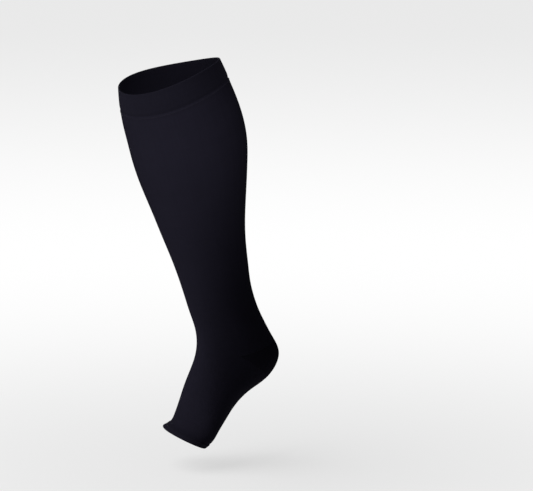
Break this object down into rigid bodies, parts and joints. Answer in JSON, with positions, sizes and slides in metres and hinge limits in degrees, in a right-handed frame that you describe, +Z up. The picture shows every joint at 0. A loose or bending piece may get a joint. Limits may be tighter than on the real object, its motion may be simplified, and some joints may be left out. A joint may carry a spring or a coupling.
{
  "type": "compression stocking",
  "caption": "Knee-high graduated compression stocking with an open toe, a top band and a knitted-in heel, hollow as worn on a leg with a lifted heel.",
  "frame": {"origin": "middle of the top opening, where the wearer's leg holds the stocking", "axes": "+Z up, toes toward -Y, inner side of the right leg toward +X"},
  "size_m": [0.1256, 0.2059, 0.4638],
  "materials": {
    "leg_knit": "fine matt knit, near-black navy",
    "band_knit": "double knit elastic band, near-black navy",
    "heel_knit": "denser knit, near-black navy",
    "hem_knit": "folded knit welt, near-black navy"
  },
  "bodies": {
    "root": {"top_band": "band_knit", "leg": "leg_knit", "heel_pocket": "heel_knit", "foot": "leg_knit", "toe_hem": "hem_knit"}
  },
  "joints": []
}
